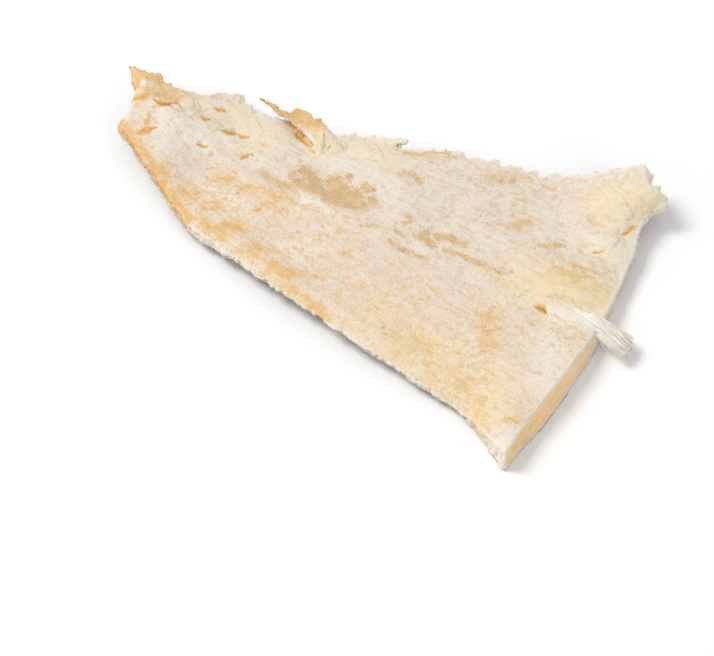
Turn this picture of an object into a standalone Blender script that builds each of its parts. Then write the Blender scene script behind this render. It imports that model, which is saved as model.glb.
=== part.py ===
"""One piece of salted dried cod: a thin, three-cornered flap cut from the side of a split fish.

It lies skin side down. +X runs along the piece, from the torn tip to the straight cut end, and +Y from
the thin front edge to the ragged back edge. The origin is under the middle of its box, on the surface
that it lies on. All the sizes below are in millimetres; the mesh is in metres.
"""

import math

import bmesh
import bpy
from mathutils import Euler, Vector, noise

MM = 0.001

# The outline: four edges, each a smooth line through the few points that give its sweep.
TIP_FRONT = (-89.5, -14)
TIP_BACK = (-102, 10)
END_FRONT = (98.5, -62)
END_BACK = (78.5, 66.5)
FRONT_EDGE = (TIP_FRONT, (-65, -25.5), (-37, -37.5), (9, -45.5), (50, -50.5), (76, -53), END_FRONT)
BACK_EDGE = (TIP_BACK, (-88, 13.5), (-75, 16.5), (-65, 26), (-55, 22.5), (-38, 27), (-24, 29),
             (-13, 35.5), (0, 35.5), (16, 43.5), (36, 49), (61, 55.5), END_BACK)
TIP_EDGE = (TIP_FRONT, (-90, -8), (-94, 1), TIP_BACK)
CUT_EDGE = (END_FRONT, (98, -48), (98.5, -28), (98, -5), (92, 34), (88, 49), (91, 60), END_BACK)

# How far each edge is frayed, and how long its tatters are.
FRONT_FRAY = 0.8
BACK_FRAY = 1.6
TIP_FRAY = 1.0
CUT_FRAY = 0.4
TATTER = 4.5

# Thickness of the flesh, and of the rim that it thins down to, at shares of each edge's length.
TIP_THICK = 5.5
BODY_THICK = 9.0
RIM_WIDTH = 8.0
FRONT_RIM = ((0.0, 3.6), (0.26, 3.6), (0.42, 2.0), (0.88, 2.4), (1.0, 8.0))
BACK_RIM = ((0.0, 2.2), (1.0, 2.6))
TIP_RIM = ((0.0, 3.2), (1.0, 2.0))
CUT_RIM = ((0.0, 8.0), (0.32, 9.0), (0.62, 2.6), (1.0, 3.0))

# The side walls lean: outward at the foot above 0, and undercut below 0, within that reach of the edge.
FRONT_LEAN = ((0.0, 0.8), (0.28, 0.8), (0.42, -1.4), (0.9, -1.0), (1.0, 1.5))
CUT_LEAN = ((0.0, 0.6), (0.14, 2.6), (0.4, 1.6), (0.65, -1.2), (1.0, 0.0))
LEAN_REACH = 5.0

# How far the dried piece curls off the surface under it.
TIP_CURL = 9.5
TIP_CURL_REACH = 52.0
FRONT_ARCH = 6.0
FRONT_ARCH_REACH = 11.0
BACK_CURL = 5.0
BACK_CURL_REACH = 10.0
CORNER_CURL = 6.0
CORNER_CURL_REACH = 40.0
END_CURL = 3.0
REST_DEPTH = 0.8

# Relief of the flesh side: soft waves, and small lumps drawn out along the fibres.
WAVE_HEIGHT = 0.8
WAVE_LENGTH = 34.0
LUMP_HEIGHT = 0.45
LUMP_LENGTH = 14.0
LUMP_WIDTH = 7.0
# Each plump segment or sunken patch: its middle, half length, half width, turn in degrees and height.
FORMS = (
    ((77, 53), 12, 7, 50, 2.0),
    ((88, 60), 5, 4, 30, 1.6),
    ((79, 65), 4, 3, 120, 1.0),
    ((84, 33), 9, 6, 80, 1.4),
    ((83, 44), 6, 4, 20, 1.0),
    ((66, 42), 10, 5, 20, 0.8),
    ((66, 12), 20, 5, -8, 0.7),
    ((-76, -3), 12, 7, -50, 1.5),
    ((-94, 7), 6, 5, 80, 1.2),
    ((-62, 16), 9, 6, 20, 1.2),
    ((-32, -24), 26, 8, -25, 0.7),
    ((0, 3), 18, 5, -4, -1.5),
    ((36, 1), 15, 4, -2, -0.9),
    ((11, 25), 7, 4, 0, -0.8),
    ((78, -6), 5, 3, -10, -1.2),
)
# Each groove between two flakes: its start, its end, how wide and how deep it is.
GROOVES = (
    ((-88, 3), (-80, 8), 2.2, 1.8),
    ((-85, -12), (-78, -7), 2.2, 1.2),
    ((-56, 9), (-42, 11), 2.0, 0.8),
    ((-62, 10), (-70, 10), 2.0, 0.9),
    ((44, 27), (64, 33), 3.0, 0.9),
    ((70, 27), (90, 26), 3.0, 1.4),
    ((74, 40), (90, 38), 2.5, 1.1),
    ((60, -2), (94, 5), 3.0, 0.9),
    ((-30, 14), (-18, 24), 2.5, 0.8),
)


class Strip:
    """A torn strip that stands off the piece: a flat rod from its buried root to its free tip."""

    def __init__(self, name, root, tip, width, thick, spread, bow):
        self.name = name
        self.root = Vector(root)
        self.tip = Vector(tip)
        self.width = width
        self.thick = thick
        self.spread = spread  # width at the tip, as a share of that at the root
        self.bow = bow


STRIPS = (
    Strip("splinter", (-30, 25, 4.4), (-54, 23.5, 12.4), 5.0, 1.6, 0.15, 0.6),
    Strip("flake", (-20, 21, 4.6), (-42.5, 27.5, 8.6), 9.5, 2.6, 0.85, 0.5),
    Strip("back_sliver", (-16, 32.5, 4.2), (1, 39, 6.4), 4.0, 1.6, 0.5, 0.4),
    Strip("back_fringe", (2, 36, 4.4), (20, 45, 6.4), 4.5, 1.6, 0.6, 0.4),
    Strip("tuft", (87, 2, 4.9), (111, -1.5, 4.0), 6.0, 1.6, 1.3, 0.6),
)

# How finely the piece is divided: along it, across it and up its side walls, and a strip along and round.
ALONG = 70
ACROSS = 33
UP_WALL = 2
STRIP_STEPS = 8
STRIP_SIDES = 8
TIP_ROUNDING = 0.16
FLATTENING = 1.6
RAGGED = 0.35

FLESH_COLOUR = (0.83, 0.68, 0.46, 1.0)
FLESH_ROUGHNESS = 0.7


def smooth(start, end, value):
    """0 before start, 1 after end, and an even rise between them."""
    t = min(1.0, max(0.0, (value - start) / (end - start)))
    return t * t * (3.0 - 2.0 * t)


def read(steps, share):
    """The value at that share of an edge, eased between the steps given as (share, value)."""
    value = steps[0][1]
    for (a, low), (b, high) in zip(steps, steps[1:]):
        value += (high - low) * smooth(a, b, share)
    return value


def waver(x, y, seed):
    """Even noise from about -1 to 1 at a point, the same each run."""
    return noise.noise(Vector((x, y, seed)))


class Edge:
    """A smooth line through points, read by the share of its length."""

    def __init__(self, points, fray, seed):
        self.fray = fray
        self.seed = seed
        self.points = [Vector(p) for p in points]
        self.marks = [0.0]
        for a, b in zip(self.points, self.points[1:]):
            self.marks.append(self.marks[-1] + (b - a).length)
        self.length = self.marks[-1]

    def slope(self, i):
        """The line's direction at point i, per millimetre."""
        low, high = max(0, i - 1), min(len(self.points) - 1, i + 1)
        return (self.points[high] - self.points[low]) / (self.marks[high] - self.marks[low])

    def at(self, share):
        """The point at that share of the line, with the tatters of a torn edge."""
        run = share * self.length
        i = max(k for k in range(len(self.marks) - 1) if self.marks[k] <= run + 1e-9)
        span = self.marks[i + 1] - self.marks[i]
        t = (run - self.marks[i]) / span
        a, b = self.points[i], self.points[i + 1]
        point = (a * (2 * t**3 - 3 * t**2 + 1) + self.slope(i) * span * (t**3 - 2 * t**2 + t)
                 + b * (3 * t**2 - 2 * t**3) + self.slope(i + 1) * span * (t**3 - t**2))
        along = (b - a).normalized()
        outward = Vector((along.y, -along.x))
        held = smooth(0.0, 0.04, share) * smooth(1.0, 0.96, share)
        tatter = waver(run / TATTER, 0.0, self.seed) + 0.6 * waver(2.3 * run / TATTER, 7.0, self.seed)
        return point + outward * (self.fray * tatter * held)


FRONT = Edge(FRONT_EDGE, FRONT_FRAY, 1.7)
BACK = Edge(BACK_EDGE, BACK_FRAY, 4.1)
TIP = Edge(TIP_EDGE, TIP_FRAY, 8.3)
CUT = Edge(CUT_EDGE, CUT_FRAY, 12.9)


def plan(u, v):
    """Where the share u along the piece and v across it lies: a Coons patch between the four edges."""
    front, back, tip, cut = FRONT.at(u), BACK.at(u), TIP.at(v), CUT.at(v)
    corners = ((1 - u) * (1 - v) * FRONT.points[0] + u * (1 - v) * FRONT.points[-1]
               + (1 - u) * v * BACK.points[0] + u * v * BACK.points[-1])
    return (1 - v) * front + v * back + (1 - u) * tip + u * cut - corners


def reaches(u, v):
    """Distances to the front edge, the back edge, the tip and the cut end."""
    width = (BACK.at(u) - FRONT.at(u)).length
    length = (1 - v) * FRONT.length + v * BACK.length
    return v * width, (1 - v) * width, u * length, (1 - u) * length


def underside(u, v):
    """Height of the skin: flat where it rests, and lifted where the piece has curled as it dried."""
    to_front, to_back, to_tip, to_cut = reaches(u, v)
    arch = FRONT_ARCH * math.sin(math.pi * u) * math.exp(-((to_front / FRONT_ARCH_REACH) ** 2))
    tip = TIP_CURL * smooth(TIP_CURL_REACH, 0.0, to_tip)
    back = BACK_CURL * math.exp(-to_back / BACK_CURL_REACH)
    corner = CORNER_CURL * smooth(CORNER_CURL_REACH, 0.0, math.hypot(to_back, to_cut))
    end = END_CURL * smooth(0.35, 0.7, v) * math.exp(-to_cut / BACK_CURL_REACH)
    lift = max(0.0, arch + tip + back + corner + end - REST_DEPTH)
    return lift * lift / (lift + REST_DEPTH)


def thickness(u, v):
    """Thickness of the flesh: thin at the torn edges and the tip, thick at the front of the cut end."""
    body = TIP_THICK + (BODY_THICK - TIP_THICK) * smooth(0.0, 0.5, u)
    body *= 1.0 - 0.25 * smooth(0.5, 1.0, v)
    rims = read(FRONT_RIM, u), read(BACK_RIM, u), read(TIP_RIM, v), read(CUT_RIM, v)
    found = body
    for rim, reach in zip(rims, reaches(u, v)):
        found = min(found, rim + max(0.0, body - rim) * (1.0 - math.exp(-reach / RIM_WIDTH)))
    return found


def form(at, middle, long, wide, turn, height):
    """How far a plump segment raises the point, or a sunken patch lowers it."""
    away = (at - Vector(middle)).to_3d()
    away.rotate(Euler((0, 0, -math.radians(turn))))
    return height * math.exp(-((away.x / long) ** 2) - (away.y / wide) ** 2)


def groove(at, start, end, width, depth):
    """How far a groove between two flakes lowers the point."""
    a, b = Vector(start), Vector(end)
    t = min(1.0, max(0.0, (at - a).dot(b - a) / (b - a).length_squared))
    return depth * math.exp(-(((at - a.lerp(b, t)).length / width) ** 2))


def relief(at):
    """The waves, lumps, segments and grooves of the flesh side."""
    height = WAVE_HEIGHT * waver(at.x / WAVE_LENGTH, at.y / WAVE_LENGTH, 3.0)
    height += LUMP_HEIGHT * waver(at.x / LUMP_LENGTH, at.y / LUMP_WIDTH, 9.0)
    height += sum(form(at, *each) for each in FORMS)
    return height - sum(groove(at, *each) for each in GROOVES)


def shaped(u, v, w):
    """The point at shares u along, v across and w up the piece, from its skin to its flesh side."""
    to_front, to_back, to_tip, to_cut = reaches(u, v)
    point = plan(u, v)
    low = underside(u, v)
    inside = smooth(0.0, 0.6 * RIM_WIDTH, min(to_front, to_back, to_tip, to_cut))
    high = low + thickness(u, v) + (0.3 + 0.7 * inside) * relief(point)
    out = read(CUT_LEAN, v) * math.exp(-to_cut / LEAN_REACH)
    forward = read(FRONT_LEAN, u) * math.exp(-to_front / LEAN_REACH)
    point += Vector((out, -forward)) * (1.0 - w)
    return Vector((point.x, point.y, low + max(high - low, 1.2) * w)) * MM


def material():
    made = bpy.data.materials.new("salted_flesh")
    made.use_nodes = True
    shader = made.node_tree.nodes["Principled BSDF"]
    shader.inputs["Base Color"].default_value = FLESH_COLOUR
    shader.inputs["Roughness"].default_value = FLESH_ROUGHNESS
    return made


def link(name, bm):
    """An object of that name holding the bmesh, linked to the scene."""
    mesh = bpy.data.meshes.new(name)
    bm.to_mesh(mesh)
    bm.free()
    made = bpy.data.objects.new(name, mesh)
    bpy.context.scene.collection.objects.link(made)
    return made


def slab():
    """The piece itself: a grid, extruded to a closed block, with every point then set in its place."""
    bm = bmesh.new()
    bmesh.ops.create_grid(bm, x_segments=ALONG, y_segments=ACROSS, size=0.5)
    top = bmesh.ops.extrude_face_region(bm, geom=bm.faces[:])["geom"]
    raised = [e for e in top if isinstance(e, bmesh.types.BMVert)]
    bmesh.ops.translate(bm, verts=raised, vec=(0, 0, 1))
    walls = [e for e in bm.edges if e.verts[0].co.z != e.verts[1].co.z]
    bmesh.ops.subdivide_edges(bm, edges=walls, cuts=UP_WALL - 1)
    for vert in bm.verts:
        vert.co = shaped(vert.co.x + 0.5, vert.co.y + 0.5, vert.co.z)
    bmesh.ops.recalc_face_normals(bm, faces=bm.faces[:])
    bmesh.ops.triangulate(bm, faces=bm.faces[:], quad_method="BEAUTY")
    return link("salt_cod_piece", bm)


def rod(strip):
    """The solid of a torn strip: a cylinder, flattened, with every point then set along the strip."""
    side = (strip.tip - strip.root).cross(Vector((0, 0, 1))).normalized()
    up = side.cross(strip.tip - strip.root).normalized()
    bm = bmesh.new()
    bmesh.ops.create_cone(bm, cap_ends=True, segments=STRIP_SIDES, radius1=0.5, radius2=0.5, depth=1.0)
    long_edges = [e for e in bm.edges if abs(e.verts[0].co.z - e.verts[1].co.z) > 0.5]
    bmesh.ops.subdivide_edges(bm, edges=long_edges, cuts=STRIP_STEPS - 1)
    for vert in bm.verts:
        t = vert.co.z + 0.5
        rounding = math.sqrt(max(0.1, 1.0 - max(0.0, (t - 1.0) / TIP_ROUNDING + 1.0) ** 2))
        ragged = 1.0 + RAGGED * waver(6.0 * t, 4.0 * vert.co.x, strip.width)
        wide = strip.width * (1.0 + (strip.spread - 1.0) * t) * rounding * ragged
        flat = max(-0.5, min(0.5, FLATTENING * vert.co.y))
        lift = strip.bow * math.sin(math.pi * t) + strip.thick * flat * (1.0 - 0.5 * t)
        vert.co = (strip.root.lerp(strip.tip, t) + side * (wide * vert.co.x) + up * lift) * MM
    bmesh.ops.recalc_face_normals(bm, faces=bm.faces[:])
    made = link(strip.name, bm)
    made.hide_render = True
    made.display_type = "WIRE"
    return made


def join(piece, strip):
    """Makes the strip one solid with the piece."""
    union = piece.modifiers.new("join_" + strip.name, "BOOLEAN")
    union.operation = "UNION"
    union.object = strip


def centre(objects, piece):
    """Moves the objects so that the finished piece's box stands on the origin, by its bottom centre."""
    bpy.context.view_layer.update()
    corners = [Vector(c) for c in piece.evaluated_get(bpy.context.evaluated_depsgraph_get()).bound_box]
    low = Vector(min(c[i] for c in corners) for i in range(3))
    high = Vector(max(c[i] for c in corners) for i in range(3))
    for each in objects:
        each.location -= Vector(((low.x + high.x) / 2, (low.y + high.y) / 2, low.z))


def main():
    for old in list(bpy.data.objects):
        bpy.data.objects.remove(old)
    piece = slab()
    piece.data.materials.append(material())
    strips = [rod(strip) for strip in STRIPS]
    for strip in strips:
        join(piece, strip)
    centre([piece, *strips], piece)
    piece.data.shade_smooth()


main()
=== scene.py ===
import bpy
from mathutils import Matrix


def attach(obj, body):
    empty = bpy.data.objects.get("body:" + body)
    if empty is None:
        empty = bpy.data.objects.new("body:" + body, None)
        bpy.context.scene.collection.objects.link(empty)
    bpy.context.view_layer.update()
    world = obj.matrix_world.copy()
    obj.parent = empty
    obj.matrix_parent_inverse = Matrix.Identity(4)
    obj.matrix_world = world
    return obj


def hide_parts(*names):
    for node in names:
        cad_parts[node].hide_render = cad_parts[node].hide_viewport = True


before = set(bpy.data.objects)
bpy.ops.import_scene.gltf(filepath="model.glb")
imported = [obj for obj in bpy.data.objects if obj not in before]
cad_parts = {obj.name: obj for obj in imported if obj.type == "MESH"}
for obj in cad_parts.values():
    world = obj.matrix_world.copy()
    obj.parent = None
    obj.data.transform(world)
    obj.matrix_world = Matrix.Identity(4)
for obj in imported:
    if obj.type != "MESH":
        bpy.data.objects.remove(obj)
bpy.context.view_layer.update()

# %% [markdown]
# Everything is worked out in millimetres, because a grain of salt is easier to think of as 0.4 mm than
# as 0.0004 m. X runs along the piece from its torn tip to its cut end, Y from the thin front edge to
# the ragged back edge, and Z up from the skin.
# %% Tools and units
import itertools
import math

import bmesh
import bpy
import numpy as np
from mathutils import Vector
from mathutils.kdtree import KDTree

MM = 0.001
SOLID = "salt_cod_piece"
DICE = np.random.default_rng(11)


# %% [markdown]
# Nothing on a torn piece of fish repeats, so nearly every shape below is nudged by smooth noise.
# Blender has noise, but one point at a time. This small class gives it for a whole array of points at
# once: random slopes stand on a lattice, and each point blends the eight around it.
# %% Noise for many points at once
class Noise:
    """Smooth seeded noise in space, from about -1 to 1."""

    def __init__(self, seed, side=32):
        slopes = np.random.default_rng(seed).normal(size=(side, side, side, 3))
        self.slopes = slopes / np.linalg.norm(slopes, axis=3, keepdims=True)
        self.side = side

    def __call__(self, points, size, shift=0.0):
        """One value for each point, in lumps of about that size; size may be one for each axis."""
        at = points / np.asarray(size) + shift
        cell = np.floor(at).astype(int)
        part = at - cell
        ease = part**3 * (part * (part * 6 - 15) + 10)
        total = np.zeros(len(points))
        for corner in itertools.product((0, 1), repeat=3):
            slope = self.slopes[tuple(((cell + corner) % self.side).T)]
            weight = np.where(corner, ease, 1 - ease).prod(axis=1)
            total += weight * ((part - corner) * slope).sum(axis=1)
        return 1.6 * total


noise = Noise(5)


def rise(start, end, values):
    """0 before start, 1 after end, and an even rise between them."""
    t = np.clip((values - start) / (end - start), 0, 1)
    return t * t * (3 - 2 * t)


def to_line(points, start, end):
    """Each point's distance from the line between two places, seen from above, and how far along it is."""
    a, b = np.array(start, float), np.array(end, float)
    along = b - a
    share = np.clip((points[:, :2] - a) @ along / max(along @ along, 1e-9), 0, 1)
    return np.linalg.norm(points[:, :2] - a - share[:, None] * along, axis=1), share


# %% [markdown]
# The solid has a corner every three millimetres, which is too coarse for salt and fibres. A voxel
# remesh covers the same shape with small even squares. It also melts the splinter and the tuft into
# the piece without seams. It leaves faint steps. A round of smoothing takes them out but also shrinks
# thin parts, so each round is followed by one that pushes the other way.
# %% Reading and writing a mesh as arrays
def points_of(mesh):
    """The mesh's corners in millimetres."""
    flat = np.empty(3 * len(mesh.vertices), np.float32)
    mesh.vertices.foreach_get("co", flat)
    return flat.reshape(-1, 3).astype(float) / MM


def set_points(mesh, points):
    mesh.vertices.foreach_set("co", (points * MM).astype(np.float32).ravel())
    mesh.update()


def normals_of(mesh):
    flat = np.empty(3 * len(mesh.vertices), np.float32)
    mesh.vertex_normals.foreach_get("vector", flat)
    return flat.reshape(-1, 3).astype(float)


def edges_of(mesh):
    """The two corners that each edge joins, as two rows."""
    flat = np.empty(2 * len(mesh.edges), np.int32)
    mesh.edges.foreach_get("vertices", flat)
    return flat.reshape(-1, 2).T


def evened(values, edges, share):
    """Each corner's values, moved that share of the way to the average of its neighbours."""
    count, (a, b) = len(values), edges
    met = np.bincount(a, minlength=count) + np.bincount(b, minlength=count)
    around = [np.bincount(a, row[b], count) + np.bincount(b, row[a], count) for row in values.T]
    return values + share * (np.column_stack(around) / met[:, None] - values)


def remeshed(name, voxel, rounds):
    """A finely divided, smoothed copy of the solid, as a new object."""
    bm = bmesh.new()
    bm.from_mesh(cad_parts[SOLID].data)
    bmesh.ops.remove_doubles(bm, verts=bm.verts[:], dist=0.001 * MM)
    rough = bpy.data.meshes.new(name + "_rough")
    bm.to_mesh(rough)
    bm.free()
    made = bpy.data.objects.new(name, rough)
    bpy.context.scene.collection.objects.link(made)
    remesh = made.modifiers.new("finer", "REMESH")
    remesh.mode = "VOXEL"
    remesh.voxel_size = voxel * MM
    bpy.context.view_layer.update()
    fine = bpy.data.meshes.new_from_object(made.evaluated_get(bpy.context.evaluated_depsgraph_get()))
    made.modifiers.clear()
    points, edges = points_of(fine), edges_of(fine)
    for _ in range(rounds):
        points = evened(evened(points, edges, 0.5), edges, -0.52)
    set_points(fine, points)
    made.data = fine
    print(name, "has", len(fine.polygons), "faces")
    return made


# %% Divide the solid finely
FLESH_VOXEL = 0.5
flesh = remeshed("salted_flesh", FLESH_VOXEL, 4)
shape = points_of(flesh.data)
facing = normals_of(flesh.data)
low, high = shape.min(axis=0), shape.max(axis=0)
print("from", low.round(1), "to", high.round(1), "mm")


# %% [markdown]
# Muscle fibres run along a fillet and fan out as it widens, so a pattern that follows them needs its
# own coordinates: how far along, and how far across between the two long edges. The edges are read
# from the mesh itself, a strip at a time. Near the cut end the fibres simply run on straight.
# %% Coordinates that follow the fibres
STRIP = 4.0
MEAN_WIDTH = 90.0
STRAIGHT_FROM = 68.0


def edge_lines(points):
    """The front and back edge as Y at even steps of X."""
    stops = np.arange(points[:, 0].min() + STRIP, STRAIGHT_FROM, STRIP)
    near = [points[np.abs(points[:, 0] - stop) < STRIP / 2, 1] for stop in stops]
    front = np.array([y.min() for y in near])
    back = np.array([y.max() for y in near])
    even = np.ones(5) / 5
    padded = [np.convolve(np.pad(side, 2, mode="edge"), even, mode="valid") for side in (front, back)]
    return stops, padded[0], padded[1]


STOPS, FRONT_LINE, BACK_LINE = edge_lines(shape)


def edges_at(points):
    """The Y of the front edge and of the back edge beside each point."""
    return np.interp(points[:, 0], STOPS, FRONT_LINE), np.interp(points[:, 0], STOPS, BACK_LINE)


def across(points):
    """0 at the front edge and 1 at the back edge."""
    front, back = edges_at(points)
    return (points[:, 1] - front) / (back - front)


def along_fibres(points):
    """Points in fibre coordinates, in millimetres: along, across and up."""
    front, back = edges_at(points)
    fan = np.sqrt(MEAN_WIDTH * (back - front))
    waver = 1.2 * noise(points, 22.0, 3.1)
    return np.column_stack([points[:, 0], across(points) * fan + waver, points[:, 2]])


print("the piece is", (BACK_LINE - FRONT_LINE).round(0)[::8], "mm wide along its length")

# %% [markdown]
# Where the frost is thin the amber flesh shows, and no rule says where: it comes from how the piece
# lay in the salt. So these places are listed one by one. Each is a stroke: a few points in millimetres
# from the middle of the piece, then half the stroke's width, then its strength.
# %% Places where the flesh shows through
BARE = (
    (((-27, 5), (-23, 3), (-19, -1)), 2.8, 1.0),
    (((-26, -2), (-18, -2), (-9, -3)), 2.0, 1.0),
    (((-16, 6), (-12, 4), (-5, 3)), 3.2, 1.0),
    (((-14, 0), (-6, -1), (-1, 1)), 2.6, 0.9),
    (((-13, 10), (-12, 7)), 1.8, 0.85),
    (((-5, 9), (-3, 8)), 1.9, 1.0),
    (((0, 5.5), (2, 4)), 1.6, 1.0),
    (((-40, -4), (-34, -6), (-26, -5)), 2.0, 0.72),
    (((-30, 1), (-29, -1)), 1.8, 0.7),
    (((24, 2), (24, -1), (29, -1)), 1.6, 0.95),
    (((28, 3), (33, 4), (38, 4)), 1.5, 1.0),
    (((34, -1), (41, 0), (45, -1), (49, 0)), 1.3, 0.78),
    (((14, 5), (17, 4), (16, 1)), 1.2, 0.75),
    (((15, -3), (19, -4)), 1.1, 0.8),
    (((17, -9), (21, -10), (31, -9)), 1.5, 0.66),
    (((4, -7), (9, -5)), 0.9, 0.72),
    (((2, 23), (5, 25), (10, 22)), 1.8, 0.66),
    (((29, 39), (35, 42)), 3.2, 0.62),
    (((50, -1), (57, 1)), 1.6, 0.66),
    (((74, 0), (80, 3)), 0.8, 0.6),
)
AMBER = (
    (((-100, 6), (-101, 3)), 3.4, 0.7),
    (((-102, 9), (-95, 10), (-87, 12)), 5.0, 0.8),
    (((-97, -2), (-93, -1)), 1.6, 0.9),
    (((-93, 3), (-86, 7)), 2.6, 0.8),
    (((-87.7, 1.2), (-86.2, -6.2), (-84.2, -11.8)), 0.9, 0.8),
    (((-94, -15), (-88, -17), (-82, -21), (-75, -23), (-67, -28), (-59, -31), (-48, -36)), 1.8, 1.0),
    (((-70, -25), (-67, -24)), 2.4, 0.9),
    (((-57, -27), (-54, -26)), 2.2, 0.8),
    (((-49, -26.5), (-44, -24)), 0.9, 0.7),
    (((-47, -29), (-43, -27)), 1.2, 0.6),
    (((-42, -35), (-33, -36)), 2.2, 0.8),
    (((-35, -32), (-30, -31)), 2.4, 0.9),
    (((-24, -39), (-18, -39)), 1.4, 0.8),
    (((-23, -35), (-16, -35)), 2.0, 0.6),
    (((-12, -39), (-7, -41), (-2, -38)), 2.6, 0.8),
    (((-3, -44), (5, -45), (16, -47)), 1.7, 0.75),
    (((-52, -15), (-47, -14)), 1.8, 0.6),
    (((-41, -14), (-38, -12)), 1.4, 0.7),
    (((-36, -13), (-31, -12), (-23, -10)), 2.0, 0.7),
    (((-30, -17), (-22, -14)), 2.2, 0.4),
    (((7, -21), (8, -21)), 1.2, 0.8),
    (((48, 21), (51, 28)), 2.0, 0.55),
    (((60, 17), (65, 21)), 0.9, 0.5),
    (((64, 21), (65.5, 22)), 0.8, 1.3),
    (((74, 16), (78, 17.5), (82.5, 18.5)), 0.5, 0.9),
    (((69, 11), (77, 12.9), (82, 16)), 0.7, 0.8),
    (((72, 5), (80, 8), (86, 12)), 0.8, 0.6),
    (((66, 9), (74, 10), (80, 10.5)), 0.6, 0.6),
    (((72, 1.5), (80, 2.5), (88, 6)), 0.6, 0.5),
    (((64, 3), (76, 8), (88, 11)), 3.2, 0.3),
    (((66, 29), (71, 28), (73, 24)), 0.9, 0.5),
    (((76, -7), (82, -7), (88, -5)), 0.5, 0.7),
    (((46, -39), (52, -38), (52, -42)), 2.6, 0.6),
    (((63, -42), (69, -44)), 1.8, 0.5),
    (((61, -20), (66, -26), (68, -31)), 3.0, 0.6),
    (((87, -54), (90, -50)), 1.2, 0.7),
    (((30, -38), (55, -42), (80, -48)), 9.0, 0.28),
    (((-47, 26), (-42, 24), (-37, 26)), 3.6, 1.2),
    (((-42.4, 22), (-41.8, 22.4)), 0.9, 1.6),
    (((-37, 25), (-36, 25.4)), 0.9, 1.8),
    (((54, 57), (66, 62)), 1.2, 0.9),
    (((-3, 32.4), (4, 36.8), (10, 40.6)), 0.9, 0.8),
    (((42, -44), (52, -43), (60, -46), (72, -48), (81, -55)), 5.0, 0.5),
)
CREAM = (
    (((-16, 33), (-9, 35.5), (-3.6, 37.5)), 2.0, 1.2),
    (((-64, 17), (-53, 12), (-49, 8)), 5.0, 0.8),
    (((-92, 4), (-80, 10)), 4.0, 0.5),
    (((-36, 24), (-29, 18)), 4.5, 1.4),
    (((-15, 25), (-5, 25)), 5.0, 0.6),
    (((70, 44), (78, 50), (84, 56)), 8.0, 1.0),
    (((66, 0), (88, 8)), 8.0, 1.0),
    (((30, -42), (80, -46)), 10.0, 0.6),
    (((42, -44), (56, -43), (72, -48), (82, -55)), 6.0, 0.5),
    (((76, 26), (80, 36)), 6.0, 0.7),
)
WHITE = (
    (((-77, -9), (-73, -13)), 5.0, 1.0),
    (((-81, -3), (-74, -5), (-67, -4)), 5.5, 1.0),
    (((90, -62), (94, -58)), 4.0, 1.0),
    (((80, -5), (92, -2), (108, -4)), 3.2, 1.3),
    (((84, -20), (92, -34)), 5.0, 0.7),
    (((66, 26), (74, 28)), 4.0, 0.6),
    (((84, 30), (86, 38)), 3.0, 0.6),
    (((-24, -9), (-14, -6), (-10, -8)), 1.6, 0.7),
    (((24, -5), (28, -6)), 2.4, 0.5),
    (((-20, 14), (2, 12)), 5.0, 0.5),
)
STREAKY = (
    (((60, 6), (72, 9), (86, 13)), 8.0, 0.9),
    (((66, 48), (78, 51)), 6.0, 0.7),
    (((50, -2), (60, 0)), 3.0, 0.6),
)
print(len(BARE), "bare strokes,", len(AMBER), "amber,", len(CREAM), "creamy and", len(WHITE), "white")

# %% [markdown]
# The same kind of list gives the larger relief. A gap is a short slit between two flakes, widest in
# its middle: half its width and its depth follow the points. A lobe is a plump bundle of muscle: half
# its width, and its height.
# A flake is a thin leaf of muscle that lies over the next one: it starts level and ends in a step.
# %% Gaps, lobes and flakes
GAPS = (
    (((-89.8, 0.2), (-86.6, -0.2), (-84.4, 1.5), (-84.3, 6)), 0.9, 0.8),
    (((-84.3, 6), (-79.5, 3.8)), 0.4, 0.25),
    (((-96.6, -2.6), (-92.9, -0.2)), 0.6, 0.3),
    (((-84.7, -15.9), (-82.6, -14), (-80.9, -11.4)), 1.2, 0.4),
    (((-72.9, 6), (-70.9, 5.7), (-70.4, 8)), 0.8, 0.5),
    (((-71.6, 12.8), (-69.7, 13.2), (-67.7, 13.5)), 0.8, 0.5),
    (((-63.8, 5.2), (-61, 7), (-59.3, 8)), 0.9, 0.6),
    (((-58.4, 8.2), (-55.2, 8.7)), 0.6, 0.4),
    (((-66.1, -5.9), (-63.5, -4)), 0.7, 0.4),
    (((-49.6, -1.7), (-49, 1.2)), 0.9, 0.6),
    (((-48.6, 1), (-46.9, 1.8)), 0.4, 0.2),
    (((-41, -18), (-39.5, -17)), 0.5, 0.3),
    (((-32, -21), (-29, -20)), 0.5, 0.3),
    (((-42, 20.2), (-37.7, 18), (-33.4, 16.4)), 0.8, 0.6),
    (((-31.5, 15.6), (-29.5, 15.6)), 0.35, 0.3),
    (((-26.8, 18.5), (-27, 21)), 0.3, 0.3),
    (((72.1, -6.6), (74.2, -6.2), (75.9, -6.6)), 0.9, 0.8),
    (((80, 38), (81.3, 40.3), (83, 43.8)), 0.5, 0.4),
    (((76, 25.4), (77, 26.8), (78.7, 27.7)), 0.4, 0.2),
)
LOBES = (
    (((70, 46), (78, 51), (84, 56)), 5.0, 0.5),
    (((60, 54), (70, 60)), 4.0, 0.5),
    (((70, 31), (78, 34)), 5.0, 0.5),
    (((-62, 14), (-54, 12)), 5.0, 0.5),
    (((-95, 3), (-84, 11)), 3.0, 0.5),
    (((-86, -11), (-74, -15)), 4.0, 0.4),
    (((-18, 28), (-8, 26)), 4.0, 0.4),
)
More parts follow.
